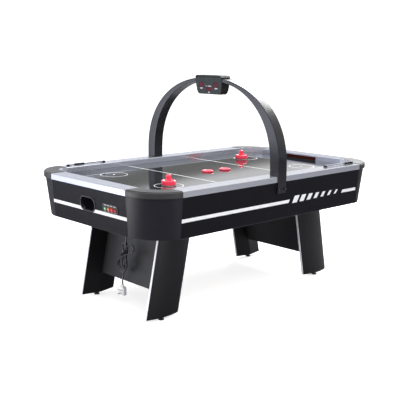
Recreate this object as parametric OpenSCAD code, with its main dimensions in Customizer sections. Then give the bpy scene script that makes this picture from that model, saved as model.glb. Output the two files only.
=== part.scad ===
// Air hockey table: cabinet, rails, playfield, blower, overhead scoring arch,
// splayed legs, pushers, pucks and a tied-up power lead.
// Frame: +X along the table, +Y across it, +Z up; the origin is on the floor
// under the middle of the table. Millimetres.

/* [Table] */
// Overall length over the aluminium rails
rail_l = 1960; // [1860:10:2060]
// Overall width over the aluminium rails
rail_w = 1200; // [1140:10:1260]
// Height of the rail tops above the floor
rail_z = 800; // [780:5:830]
// Width of a rail's flat top
rail_top_w = 100; // [90:5:110]
// Height of the rails above the playing surface
rail_h = 35; // [30:1:40]
// Height of the cabinet's lower edge above the floor
skirt_z = 536; // [520:2:560]
// How far the skirts lean in from top to bottom
skirt_lean = 19; // [10:1:26]
// Thickness of the skirt boards
skirt_t = 15; // [12:1:16]

/* [Corners] */
// Length of a corner unit along the table
corner_x = 200; // [180:5:220]
// Length of a corner unit across the table
corner_y = 237; // [220:1:250]
// Radius of the rink's inside corners
rink_r = 100; // [80:5:120]

/* [Goals] */
// Half width of the goal slot
goal_half = 150; // [130:5:160]
// Height of the goal slot
goal_h = 23; // [16:1:26]
// Height of the puck return opening above the floor
return_z = 669; // [664:1:674]
// Width of the puck return bezel
bezel_w = 148; // [120:2:160]
// Height of the puck return bezel
bezel_h = 88; // [78:2:92]

/* [Arch] */
// Half of the arch's outside span
arch_half = 608; // [604:1:612]
// Height of the arch's apex above the floor
arch_top = 1362; // [1340:2:1400]
// Depth of the arch along the table
arch_d = 72; // [60:2:84]
// Half width of the overhead score unit
scorer_half = 119; // [110:1:130]
// Height of the score unit's lower edge
scorer_z0 = 1256; // [1240:2:1270]
// Height of the score unit's top
scorer_z1 = 1375; // [1372:1:1390]

/* [Legs] */
// Distance of a foot from the middle along the table
foot_x = 696; // [680:2:710]
// Distance of a leg from the middle across the table
foot_y = 318; // [300:2:330]
// Width of a leg along the table
leg_w = 240; // [220:5:250]
// How far a leg leans out per millimetre of height
leg_splay = 0.2024; // [0.16:0.002:0.23]
// Height of the end panels' lower edge
panel_z = 145; // [120:5:200]

/* [Play pieces] */
// Diameter of a pusher
pusher_d = 86; // [80:2:100]
// Diameter of a puck
puck_d = 76; // [63:1:80]
// Thickness of a puck
puck_t = 9; // [5:1:10]

/* [Hidden] */
$fn = 48;
rx = rail_l / 2;
ry = rail_w / 2;
ix = rx - rail_top_w;
iy = ry - rail_top_w;
pz = rail_z - rail_h;
sx = rx - 3;
sy = ry - 3;
cx = rx - corner_x;
cy = ry - corner_y;
ax = cx - 3;
ay = cy - 5;
sk_h = pz - skirt_z;
th = atan(skirt_lean / sk_h);
st = sin(th);
ct = cos(th);
base_z = 548;
// middle of the control panel across the table, and its height
bezel_r = bezel_h / 2 - 4;
panel_y = -216;
panel_c = 673;
// middles of the two slide scorers along the table, and their place across it
near_c = 628;
far_c = 606;
track_y = -540;
leg_top = 544;
leg_bot = 20;
tilt = atan(leg_splay);

function skx(z) = sx - skirt_lean * (pz - z) / sk_h;
function sky(z) = sy - skirt_lean * (pz - z) / sk_h;
function legx(z) = foot_x - leg_splay * z;
// quarter superellipse from the +X end of the arc to the +Y end
function quarter(x0, y0, a, b, p, n = 20) = [for (k = [0:n]) let (t = 90 * k / n)
  [x0 + a * pow(cos(t), 2 / p), y0 + b * pow(sin(t), 2 / p)]];
function half_arch(a, h, z0, ymin, p = 2.2, n = 26) = [for (k = [0:n])
  let (y = a * sin(asin(ymin / a) + (90 - asin(ymin / a)) * k / n))
  [y, z0 + h * pow(max(0, 1 - pow(y / a, p)), 1 / p)]];

module prism_x(l, p) rotate([90, 0, 90]) translate([0, 0, -l / 2]) linear_extrude(l) polygon(p);
module prism_y(l, p) rotate([90, 0, 0]) translate([0, 0, -l / 2]) linear_extrude(l) polygon(p);
// frames lying on the skirts' outer faces: x to the viewer's right, y up the face, z outward
module near_face(x, z) multmatrix([[1, 0, 0, x], [0, -st, -ct, -sky(z)], [0, ct, -st, z], [0, 0, 0, 1]]) children();
module left_face(y, z) multmatrix([[0, -st, -ct, -skx(z)], [-1, 0, 0, y], [0, ct, -st, z], [0, 0, 0, 1]]) children();
module turned() rotate([0, 0, 180]) children();
module four() for (i = [0, 1], j = [0, 1]) mirror([i, 0, 0]) mirror([0, j, 0]) children();
module round_block(w, h, r, z0, z1) {
  translate([-w / 2 + r, -h / 2, z0]) cube([w - 2 * r, h, z1 - z0]);
  translate([-w / 2, -h / 2 + r, z0]) cube([w, h - 2 * r, z1 - z0]);
  for (i = [-1, 1], j = [-1, 1]) translate([i * (w / 2 - r), j * (h / 2 - r), z0]) cylinder(r = r, h = z1 - z0);
}
module tapered(pa, za, pb, zb) hull() {
  translate([0, 0, za - 0.02]) linear_extrude(0.02) polygon(pa);
  translate([0, 0, zb]) linear_extrude(0.02) polygon(pb);
}
// rectangle of half sizes a and b with its corners cut by c, h high from z
module cut_board(a, b, c, z, h) translate([0, 0, z]) linear_extrude(h)
  polygon([[-a, c - b], [c - a, -b], [a - c, -b], [a, c - b], [a, b - c], [a - c, b], [c - a, b], [-a, b - c]]);

// ---------- cabinet ----------
module playfield() color("gainsboro")
  cut_board(ix, iy + 40, 44, pz - 12, 12);

module plenum_frame() color("burlywood") difference() {
  cut_board(866, iy + 30, 66, 665, pz - 12 - 665);
  intersection() {
    cut_board(841, iy + 12, 66, 664, 100);
    for (i = [-1, 0, 1]) translate([i * 577 - 264, -iy - 12, 664]) cube([528, 2 * iy + 24, 100]);
  }
  // air passes from bay to bay
  for (i = [-1, 1], j = [-2:2]) translate([i * 288.5 - 40, j * 180, 712]) rotate([0, 90, 0]) cylinder(r = 22, h = 80);
}
module plenum_floor() color("peru") difference() {
  cut_board(866, iy + 30, 66, 659, 6);
  translate([95, 0, 640]) cylinder(r = 40, h = 40);
}
module cabinet_floor() color("saddlebrown") difference() {
  translate([0, 0, base_z]) linear_extrude(9) polygon([[-938, -330], [-760, -556], [760, -556], [938, -330], [938, 330], [760, 556], [-760, 556], [-938, 330]]);
  translate([0, 0, base_z - 10]) cylinder(r = 64, h = 40);
  four() bolt_spots() translate([0, 0, base_z - 5]) cylinder(r = 4.1, h = 20);
}
module apron_side() difference() {
  prism_x(2 * ax, [[-sky(pz), pz], [-sky(skirt_z), skirt_z], [-sky(skirt_z) + skirt_t, skirt_z], [-sky(pz) + skirt_t, pz]]);
  for (i = [-1, 1]) near_face(i * 28, 723) translate([0, 0, -12]) cylinder(r = 2.6, h = 30);
}
module apron_near() color([.11, .11, .12]) apron_side();
module apron_far() color([.11, .11, .12]) turned() apron_side();
module apron_end() difference() {
  prism_y(2 * ay, [[-skx(pz), pz], [-skx(skirt_z), skirt_z], [-skx(skirt_z) + skirt_t, skirt_z], [-skx(pz) + skirt_t, pz]]);
  left_face(0, return_z) round_block(bezel_w - 8, bezel_h - 8, bezel_r - 4, -40, 20);
}
module apron_left() color([.16, .16, .18]) difference() {
  apron_end();
  left_face(panel_y, panel_c) translate([-63, -24.5, -40]) cube([126, 43, 60]);
}
module apron_right() color([.16, .16, .18]) turned() apron_end();

module corner_panel() difference() {
  tapered(concat([[cx - 3, ay]], quarter(ax, ay, skx(pz) - ax, sky(pz) - ay, 1.9)), pz,
          concat([[cx - 3, ay]], quarter(ax, ay, skx(skirt_z) - ax, sky(skirt_z) - ay, 1.66)), skirt_z);
  tapered(concat([[ax - 60, ay - 60]], quarter(ax - 60, ay - 60, skx(pz) - ax + 48, sky(pz) - ay + 48, 1.9)), pz + 1,
          concat([[ax - 60, ay - 60]], quarter(ax - 60, ay - 60, skx(skirt_z) - ax + 48, sky(skirt_z) - ay + 48, 1.66)), skirt_z - 1);
}
module corner_panels() color([.13, .13, .14]) four() corner_panel();

// the rink's inside corner, its radius grown by g
function bend(g) = concat([for (k = [0:12]) [ix - rink_r + (rink_r + g) * sin(7.5 * k), iy - rink_r + (rink_r + g) * cos(7.5 * k)]], [[ix + g, cy]]);
module cap_slice(grow, z0, z1) translate([0, 0, z0]) linear_extrude(z1 - z0)
  polygon(concat(quarter(cx, cy, rx + grow - cx, ry + grow - cy, 2.0, 24), bend(3)));
module corner_caps() color([.45, .45, .43]) four() {
  cap_slice(2, pz, pz + 31);
  cap_slice(-3, pz + 31, pz + 37);
}
module corner_liners() color([.8, .82, .87]) four() translate([0, 0, pz]) linear_extrude(rail_h - 0.6)
  polygon(concat(bend(0), [for (k = [13:-1:0]) bend(3)[k]]));

// hollow extrusions, open below: the outer wall is 6 mm, the rest 3 mm
module rail_side() difference() {
  prism_x(2 * cx, [[-ry, pz], [-ry, rail_z - 3], [-ry + 3, rail_z], [-iy - 3, rail_z], [-iy, rail_z - 3], [-iy, pz]]);
  prism_x(2 * cx + 2, [[-ry + 6, pz - 1], [-ry + 6, rail_z - 3], [-iy - 3, rail_z - 3], [-iy - 3, pz - 1]]);
}
module rail_with(c) difference() {
  rail_side();
  for (i = [-1, 1]) translate([c + i * 120, track_y, rail_z - 14]) cylinder(r = 2.1, h = 30);
}
module rail_near() color([.83, .85, .9]) rail_with(near_c);
module rail_far() color([.83, .85, .9]) turned() rail_with(far_c);
module rail_end() difference() {
  prism_y(2 * cy, [[-rx, pz], [-rx, rail_z - 3], [-rx + 3, rail_z], [-ix - 3, rail_z], [-ix, rail_z - 3], [-ix, pz]]);
  prism_y(2 * cy + 2, [[-rx + 6, pz - 1], [-rx + 6, rail_z - 3], [-ix - 3, rail_z - 3], [-ix - 3, pz - 1]]);
  translate([-ix - 10, -goal_half, pz - 1]) cube([12, 2 * goal_half, goal_h + 1]);
}
module rail_left() color([.85, .87, .92]) rail_end();
module rail_right() color([.85, .87, .92]) turned() rail_end();

module goal_box() difference() {
  translate([-rx + 32, -goal_half - 8, 618]) cube([rail_top_w - 36, 2 * goal_half + 16, rail_z - 4 - 618]);
  translate([-rx + 35, -goal_half - 5, 621]) cube([rail_top_w - 42, 2 * goal_half + 10, rail_z - 7 - 621]);
  translate([-rx + 90, -goal_half, pz]) cube([10, 2 * goal_half, goal_h]);
  left_face(0, return_z) round_block(bezel_w - 6, bezel_h - 6, bezel_r - 3, -36, 0);
}
module goal_boxes() color([.1, .1, .1]) {
  goal_box();
  turned() goal_box();
}
module bezel() left_face(0, return_z) difference() {
  union() {
    round_block(bezel_w, bezel_h, bezel_r, 0, 4);
    round_block(bezel_w - 9, bezel_h - 9, bezel_r - 4.5, -21, 0);
  }
  round_block(bezel_w - 14, bezel_h - 14, bezel_r - 7, -30, 10);
}
module return_bezels() color([.05, .05, .05]) {
  bezel();
  turned() bezel();
}

// ---------- controls ----------
module control_panel() color([.09, .09, .1]) left_face(panel_y, panel_c) difference() {
  union() {
    round_block(138, 50, 8, 0, 3);
    translate([-62, -24, -16.5]) cube([124, 42, 16.5]);
  }
  translate([-60, -21.5, -14]) cube([120, 37, 14.01]);
  for (i = [0:3]) translate([i * 30 - 45, -5, -2]) cylinder(r = 12.4, h = 10);
}
module button(i) left_face(panel_y, panel_c) translate([i * 30 - 45, -5, 0]) {
  translate([0, 0, -1]) cylinder(r = 12, h = 7);
  translate([0, 0, -5]) cylinder(r = 13.6, h = 4);
  translate([0, 0, -11]) cylinder(r = 3, h = 6);
}
module button_green() color("green") button(0);
module button_amber() color("orange") button(1);
module button_red() color("red") button(2);
module button_maroon() color("maroon") button(3);

// ---------- stripes ----------
module bar(x0, x1, h, slant) linear_extrude(0.6)
  polygon([[x0, -h / 2], [x1, -h / 2], [x1 + slant, h / 2], [x0 + slant, h / 2]]);
module side_stripe() near_face(0, 636) {
  linear_extrude(0.6) polygon([[-ax, -10], [86, -10], [96, 10], [-ax, 10]]);
  linear_extrude(0.6) polygon([[606, -10], [760, -10], [760, 10], [618, 10]]);
  for (k = [0:6]) translate([120 + k * 68, 6, 0]) bar(0, 44 - 4 * k, 44 - 3 * k, 20);
}
module end_stripe() left_face(0, 636) linear_extrude(0.6) difference() {
  square([2 * ay, 20], center = true);
  square([94, 30], center = true);
  translate([0, (return_z - 636) / ct]) offset(r = bezel_r) square([bezel_w + 0.8 - 2 * bezel_r, bezel_h + 0.8 - 2 * bezel_r], center = true);
}
module stripes() color("white") {
  side_stripe();
  turned() side_stripe();
  end_stripe();
  turned() end_stripe();
}

// ---------- arch and score unit ----------
function arch_pts() = concat(half_arch(arch_half, arch_top - 850, 850, scorer_half),
  [[arch_half, 800], [arch_half - 4, 697], [sky(697), 697], [sky(pz), pz], [ry, pz], [ry, rail_z - 3], [ry - 3, rail_z]],
  [[arch_half - 72, rail_z]],
  [for (q = [26:-1:0]) half_arch(arch_half - 72, arch_top - 870, 850, scorer_half)[q]]);
module arch_half_body() difference() {
  prism_x(arch_d, arch_pts());
  for (i = [-1, 1]) turned() near_face(i * 28, 723) translate([0, 0, -12]) cylinder(r = 2.6, h = 50);
}
module arch_far() color([.2, .2, .22]) arch_half_body();
module arch_near() color([.2, .2, .22]) turned() arch_half_body();

module arch_screws() for (i = [-1, 1]) near_face(i * 28, 723) {
  translate([0, 0, -12]) cylinder(r = 2.6, h = 28);
  translate([0, 0, 15.3]) cylinder(r = 6.5, h = 3.2);
}
module leg_bolt() {
  translate([0, 0, leg_top - 6]) cylinder(r = 7, h = 6);
  translate([0, 0, leg_top]) cylinder(r = 4, h = 12);
}
module bolt_spots() for (i = [-1, 1], j = [-1, 1]) translate([legx(546) + i * 96, foot_y + j * 52, 0]) children();
module screws_and_bolts() color("silver") {
  arch_screws();
  turned() arch_screws();
  four() bolt_spots() leg_bolt();
}

module scorer_profile(g) polygon([[0, scorer_z0 + g], [30 - g, scorer_z0 + g], [40 - g, scorer_z1 - 12], [42 - g, scorer_z1 - 10], [42 - g, scorer_z1 - g], [0, scorer_z1 - g]]);
// outline seen along the table: upper points measured in from a top corner, lower ones from a bottom corner
module scorer_outline(up, low) let (half = concat([for (q = up) [-scorer_half + q[0], scorer_z1 - q[1]]], [for (q = low) [-scorer_half + q[0], scorer_z0 + q[1]]]))
  polygon(concat(half, [for (k = [len(half) - 1:-1:0]) [-half[k][0], half[k][1]]]));
module scorer_half_shell() difference() {
  intersection() {
    rotate([90, 0, 0]) translate([0, 0, -scorer_half]) linear_extrude(2 * scorer_half) scorer_profile(0);
    rotate([90, 0, 90]) linear_extrude(60) scorer_outline([[12, 0], [0, 12]], [[0, 74], [8, 24], [15, 8], [27, 0]]);
  }
  intersection() {
    rotate([90, 0, 0]) translate([0, 0, -scorer_half + 3]) linear_extrude(2 * scorer_half - 6) scorer_profile(3);
    translate([-1, 0, 0]) rotate([90, 0, 90]) linear_extrude(60) scorer_outline([[13.5, 3], [3, 13.5]], [[3, 74], [11, 25.5], [17.5, 10.5], [28.5, 3]]);
  }
  for (w = win) translate([20, w[0] - w[2] / 2, w[1] - w[3] / 2]) cube([40, w[2], w[3]]);
}
// display windows: centre across, centre height, width, height
win = [[67, 1315, 44, 30], [-67, 1315, 44, 30], [0, 1288, 50, 26]];
module scorer_back() color([.08, .08, .09]) scorer_half_shell();
module scorer_front() color([.1, .1, .12]) turned() scorer_half_shell();
function face_x(z) = 30 + 10 * (z - scorer_z0) / (scorer_z1 - 12 - scorer_z0);
module display_windows() color([.25, .02, .03]) for (s = [0, 180]) rotate([0, 0, s])
  for (w = win) let (a = w[1] - w[3] / 2 + 0.2, b = w[1] + w[3] / 2 - 0.2) translate([0, w[0], 0])
    prism_y(w[2] - 0.4, [[face_x(a) - 3, a], [face_x(a) - 0.8, a], [face_x(b) - 0.8, b], [face_x(b) - 3, b]]);
// one seven-segment figure, lying in the YZ plane at x = 0
module figure(h, on) {
  w = h * 0.5;
  t = h * 0.13;
  seg = [[0, h / 2 - t / 2, 1], [w / 2 - t / 2, h / 4, 0], [w / 2 - t / 2, -h / 4, 0], [0, -h / 2 + t / 2, 1], [-w / 2 + t / 2, -h / 4, 0], [-w / 2 + t / 2, h / 4, 0], [0, 0, 1]];
  for (k = on) let (s = seg[k]) translate([0, s[0] - (s[2] == 1 ? (w - 2.6 * t) / 2 : t / 2), s[1] - (s[2] == 1 ? t / 2 : (h / 2 - 1.9 * t) / 2)])
    cube([1, s[2] == 1 ? w - 2.6 * t : t, s[2] == 1 ? t : h / 2 - 1.9 * t]);
}
module led_digits() color("red") for (s = [0, 180]) rotate([0, 0, s]) {
  for (w = [0, 1], i = [-1, 1]) translate([26.5, win[w][0] + i * 9, win[w][1]]) figure(22, [0, 1, 2, 3, 4, 5]);
  for (i = [-1, 1]) translate([26.5, i * 9, win[2][1]]) figure(18, [0, 1, 2, 3, 4, 5]);
}
module scorer_board() color("darkgreen") difference() {
  translate([-2, -88, 1272]) cube([4, 176, 60]);
  for (i = [-1, 1]) translate([-5, i * 34, 1320]) rotate([0, 90, 0]) cylinder(r = 2, h = 10);
}

// ---------- legs ----------
// lens-like board section: bowed outside, ridged inside
function leg_sec() = concat([[-leg_w / 2 + 4, -6]], [[-leg_w / 2 + 4, 6]],
  [for (k = [1:11]) let (u = -leg_w / 2 + 4 + (leg_w - 8) * k / 12) [u, 6 + 20 * (1 - pow(2 * u / leg_w, 2))]],
  [[leg_w / 2 - 4, 6], [leg_w / 2 - 4, -6], [9, -30], [-9, -30]]);
module leg_raw(p) intersection() {
  translate([foot_x, foot_y, 0]) rotate([0, -tilt, 0]) translate([0, 0, -80]) linear_extrude(760) polygon(p);
  translate([300, 0, leg_bot]) cube([700, 700, leg_top - leg_bot]);
}
module leg() difference() {
  leg_raw(leg_sec());
  translate([foot_x, foot_y, leg_bot - 5]) cylinder(r = 6.1, h = 57);
}
module leg_left_near() color([.14, .14, .15]) mirror([1, 0, 0]) mirror([0, 1, 0]) leg();
module leg_left_far() color([.14, .14, .15]) mirror([1, 0, 0]) leg();
module leg_right_near() color([.12, .12, .13]) mirror([0, 1, 0]) leg();
module leg_right_far() color([.12, .12, .13]) leg();
module leg_trims() color([.85, .86, .88]) four() for (i = [-1, 1])
  leg_raw([[i * (leg_w / 2 - 4), -7], [i * leg_w / 2, -6], [i * leg_w / 2, 6], [i * (leg_w / 2 - 4), 7]]);
module leg_brackets() color("dimgray") four() difference() {
  translate([legx(546) - 125, foot_y - 68, leg_top]) cube([250, 136, base_z - leg_top]);
  bolt_spots() translate([0, 0, leg_top - 5]) cylinder(r = 4, h = 20);
}
module end_panel() intersection() {
  translate([foot_x, 0, 0]) rotate([0, -tilt, 0]) translate([-7.5, -foot_y + 30, 0]) cube([15, 2 * foot_y - 60, 700]);
  translate([300, -500, panel_z]) cube([700, 1000, leg_top - panel_z]);
}
module end_panels() color([.1, .1, .11]) {
  end_panel();
  turned() end_panel();
}
module foot() translate([foot_x, foot_y, 0]) {
  cylinder(r = 17, h = 8);
  translate([0, 0, 8]) cylinder(r = 10, h = 5);
  translate([0, 0, 13]) cylinder(r = 6, h = 45);
}
module foot_left_near() color("dimgray") mirror([1, 0, 0]) mirror([0, 1, 0]) foot();
module foot_left_far() color("dimgray") mirror([1, 0, 0]) foot();
module foot_right_near() color("dimgray") mirror([0, 1, 0]) foot();
module foot_right_far() color("dimgray") foot();

// ---------- blower ----------
module blower_housing() color([.2, .2, .2]) difference() {
  union() {
    translate([0, 0, 557]) cylinder(r = 140, h = 88, $fn = 72);
    translate([95, 0, 645]) cylinder(r = 38, h = 20);
  }
  translate([0, 0, 560]) cylinder(r = 137, h = 82, $fn = 72);
  translate([0, 0, 550]) cylinder(r = 64, h = 20);
  translate([95, 0, 630]) cylinder(r = 35, h = 50);
}
module blower_motor() color([.6, .6, .62]) {
  translate([0, 0, 600]) cylinder(r = 42, h = 42);
  translate([0, 0, 572]) cylinder(r = 4, h = 28);
}
module impeller() color("whitesmoke") difference() {
  union() {
    translate([0, 0, 574]) cylinder(r = 90, h = 3, $fn = 72);
    translate([0, 0, 577]) cylinder(r = 10, h = 18);
    for (k = [0:17]) rotate([0, 0, 20 * k]) translate([66, -1.2, 577]) cube([20, 2.4, 50]);
    translate([0, 0, 627]) difference() {
      cylinder(r = 90, h = 3, $fn = 72);
      translate([0, 0, -1]) cylinder(r = 66, h = 5, $fn = 72);
    }
  }
  translate([0, 0, 570]) cylinder(r = 4.05, h = 30);
}
module intake_grille() color([.15, .15, .15]) difference() {
  translate([0, 0, base_z - 5]) cylinder(r = 82, h = 5, $fn = 72);
  for (i = [-3:3], j = [-3:3]) if (i * i + j * j < 10.5) translate([i * 17, j * 17, base_z - 10]) cylinder(r = 6.5, h = 20);
}

// ---------- slide scorers on the rails ----------
module track(c) translate([c, track_y, rail_z]) {
  for (i = [-1, 1]) translate([i * 120, 0, -12]) cylinder(r = 2.1, h = 12);
  for (i = [-1, 1]) translate([i * 138 - 8, -8, 0]) cube([16, 16, 12]);
  translate([-138, -4.5, 4.4]) cube([276, 9, 6.4]);
  for (i = [-1, 1]) translate([i * 120 - 6, -4, 0]) cube([12, 8, 2]);
}
module score_tracks() color("silver") {
  track(near_c);
  turned() track(far_c);
}
module slider_block(x0, l) difference() {
  translate([x0, track_y - 8.5, rail_z + 2.3]) cube([l, 17, 11.2]);
  translate([x0 - 1, track_y - 5, rail_z + 3.9]) cube([l + 2, 10, 7.4]);
}
module slider_near() color([.08, .08, .08]) slider_block(690, 66);
module slider_far() color([.08, .08, .08]) turned() slider_block(622, 74);

// ---------- pushers and pucks ----------
module pusher_shell() rotate_extrude($fn = 72) polygon([[0, 3.2], [40, 3.2], [42.4, 4.6], [pusher_d / 2, 8], [pusher_d / 2, 26], [pusher_d / 2 - 2.5, 30], [pusher_d / 2 - 7, 31],
  [pusher_d / 2 - 10, 28.5], [25, 21], [20, 22], [16.5, 28], [15.2, 40], [15.6, 52], [14.6, 58], [11.5, 62.3], [6, 64.6], [0, 65.2]]);
module felt() cylinder(r = 39.5, h = 2.9, $fn = 72);
module at_pusher(x, y) translate([x, y, pz + 0.3]) children();
module pusher_left() color([.9, .1, .2]) at_pusher(-586, -256) pusher_shell();
module pusher_left_felt() color([.85, .8, .75]) at_pusher(-586, -256) felt();
module pusher_right() color([.9, .1, .2]) at_pusher(530, 248) pusher_shell();
module pusher_right_felt() color([.85, .8, .75]) at_pusher(530, 248) felt();
module puck() rotate_extrude($fn = 72) polygon([[0, 0], [puck_d / 2 - 1.2, 0], [puck_d / 2, 1.2], [puck_d / 2, puck_t - 1.2], [puck_d / 2 - 1.2, puck_t],
  [puck_d / 2 - 8, puck_t], [puck_d / 2 - 9.5, puck_t - 1], [0, puck_t - 1]]);
module puck_a() color([.9, .1, .2]) translate([-62, -28, pz + 0.3]) puck();
module puck_b() color([.9, .1, .2]) translate([79, -41, pz + 0.3]) puck();

// ---------- power lead ----------
lead_d = 8;
lead_x = -704;
// where the lead leaves the cabinet and where its tail hangs, across the table
drop_y = -8;
tail_y = 36;
hank_top = 394;
hank_bot = 208;
function ring(p, d) = let (u = norm(cross(d, [1, 0, 0])) > 0.1 ? cross(d, [1, 0, 0]) / norm(cross(d, [1, 0, 0])) : [0, 1, 0], v = cross(d, u) / norm(d))
  [for (k = [0:9]) p + lead_d / 2 * (u * cos(36 * k) + v * sin(36 * k))];
module tube(pts) let (n = len(pts),
    rings = [for (i = [0:n - 1]) ring(pts[i], pts[min(i + 1, n - 1)] - pts[max(i - 1, 0)])],
    v = [for (r = rings) each r])
  polyhedron(v, concat([[for (k = [9:-1:0]) k]], [[for (k = [0:9]) (n - 1) * 10 + k]],
    [for (i = [0:n - 2], k = [0:9]) [i * 10 + k, i * 10 + (k + 1) % 10, (i + 1) * 10 + (k + 1) % 10, (i + 1) * 10 + k]]));
module strain_relief() color([.06, .06, .06]) translate([lead_x, drop_y, 0]) {
  translate([0, 0, base_z - 6]) cylinder(r = 13, h = 6);
  translate([0, 0, base_z - 34]) cylinder(r1 = 5.5, r2 = 9, h = 28);
}
module cord_drop() color([.08, .08, .08]) tube([for (k = [0:8]) [lead_x, drop_y, base_z - 34 - (base_z - 34 - hank_top) * k / 8]]);
// a tied figure of eight: one lobe below the tie and two above it
module cord_hank() color([.08, .08, .08]) translate([lead_x - 17, 0, 0]) rotate([90, 0, 90]) linear_extrude(34) union() {
  translate([24, 257]) circle(r = 46);
  polygon([[-12, 330], [24, 336], [69, 266], [-21, 250]]);
  translate([10, 356]) circle(r = 34);
  polygon([[-12, 318], [24, 318], [44, 356], [-24, 356]]);
  translate([-66, 364]) circle(r = 34);
  polygon([[-8, 304], [24, 328], [-44, 390], [-88, 338]]);
  translate([drop_y - 6, hank_top - 12]) square([12, 12]);
  translate([tail_y - 6, hank_bot]) square([12, 12]);
}
module cord_tail() color([.08, .08, .08]) tube([for (k = [0:6]) [lead_x, tail_y, hank_bot - (hank_bot - 132) * k / 6]]);
module plug() translate([lead_x, tail_y, 0]) {
  color([.92, .92, .94]) translate([0, 0, 117]) cylinder(r1 = 10, r2 = 6, h = 15);
  color([.92, .92, .94]) translate([0, 0, 90]) rotate([90, 0, 90]) round_block(50, 56, 14, -11, 11);
  color("goldenrod") for (i = [-1, 1]) translate([-29, i * 11.1 - 3.2, 97]) cube([19, 6.4, 4]);
  color("goldenrod") translate([-33.5, -2, 74]) cube([23.5, 4, 8]);
}

playfield();
plenum_frame();
plenum_floor();
cabinet_floor();
apron_near();
apron_far();
apron_left();
apron_right();
corner_panels();
corner_caps();
corner_liners();
rail_near();
rail_far();
rail_left();
rail_right();
goal_boxes();
return_bezels();
control_panel();
button_green();
button_amber();
button_red();
button_maroon();
stripes();
arch_near();
arch_far();
screws_and_bolts();
scorer_front();
scorer_back();
display_windows();
led_digits();
scorer_board();
leg_left_near();
leg_left_far();
leg_right_near();
leg_right_far();
leg_trims();
leg_brackets();
end_panels();
foot_left_near();
foot_left_far();
foot_right_near();
foot_right_far();
blower_housing();
blower_motor();
impeller();
intake_grille();
score_tracks();
slider_near();
slider_far();
pusher_left();
pusher_left_felt();
pusher_right();
pusher_right_felt();
puck_a();
puck_b();
strain_relief();
cord_drop();
cord_hank();
cord_tail();
plug();
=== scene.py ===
import math
import bpy, bmesh
import numpy as np
from mathutils import Matrix, Vector


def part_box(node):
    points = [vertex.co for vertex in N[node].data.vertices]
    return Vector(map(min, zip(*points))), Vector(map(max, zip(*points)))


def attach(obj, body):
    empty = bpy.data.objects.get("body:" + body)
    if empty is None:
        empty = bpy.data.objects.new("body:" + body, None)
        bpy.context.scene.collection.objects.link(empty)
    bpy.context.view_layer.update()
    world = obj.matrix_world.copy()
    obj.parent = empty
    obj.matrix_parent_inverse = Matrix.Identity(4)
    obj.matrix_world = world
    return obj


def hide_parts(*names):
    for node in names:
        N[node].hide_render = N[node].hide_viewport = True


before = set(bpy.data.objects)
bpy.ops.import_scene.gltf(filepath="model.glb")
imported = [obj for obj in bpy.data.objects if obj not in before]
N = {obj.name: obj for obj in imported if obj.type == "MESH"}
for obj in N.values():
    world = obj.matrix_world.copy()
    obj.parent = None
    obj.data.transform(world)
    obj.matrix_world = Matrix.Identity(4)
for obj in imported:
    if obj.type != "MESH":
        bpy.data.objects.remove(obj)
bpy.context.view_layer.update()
SC = bpy.context.scene

# ------------------------------------------------------------------ camera
AZ, EL, ROLL = math.radians(-42.932), math.radians(10.936), math.radians(0.464)
TARGET, DIST, FPX = Vector((0.313, 0.445, 0.468)), 5.533, 761.865
back = Vector((math.sin(AZ) * math.cos(EL), -math.cos(AZ) * math.cos(EL), math.sin(EL)))
fwd = -back
right = fwd.cross(Vector((0, 0, 1))).normalized()
up = right.cross(fwd)
R = right * math.cos(ROLL) + up * math.sin(ROLL)
U = -right * math.sin(ROLL) + up * math.cos(ROLL)
cam_data = bpy.data.cameras.new("camera")
cam_data.sensor_width = 36
cam_data.lens = FPX / 400 * 36
cam_data.shift_y = -0.0018
cam_data.clip_end = 400
cam = bpy.data.objects.new("camera", cam_data)
SC.collection.objects.link(cam)
m = Matrix((R, U, -fwd)).transposed().to_4x4()
m.translation = TARGET + back * DIST
cam.matrix_world = m
SC.camera = cam
SC.view_settings.view_transform = "Standard"
SC.view_settings.look = "None"

# ------------------------------------------------------------------ materials
def rgb(s):
    """sRGB 0-255 triple to linear."""
    return tuple(((c / 255) / 12.92 if c <= 10 else ((c / 255 + 0.055) / 1.055) ** 2.4) for c in s)

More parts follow.
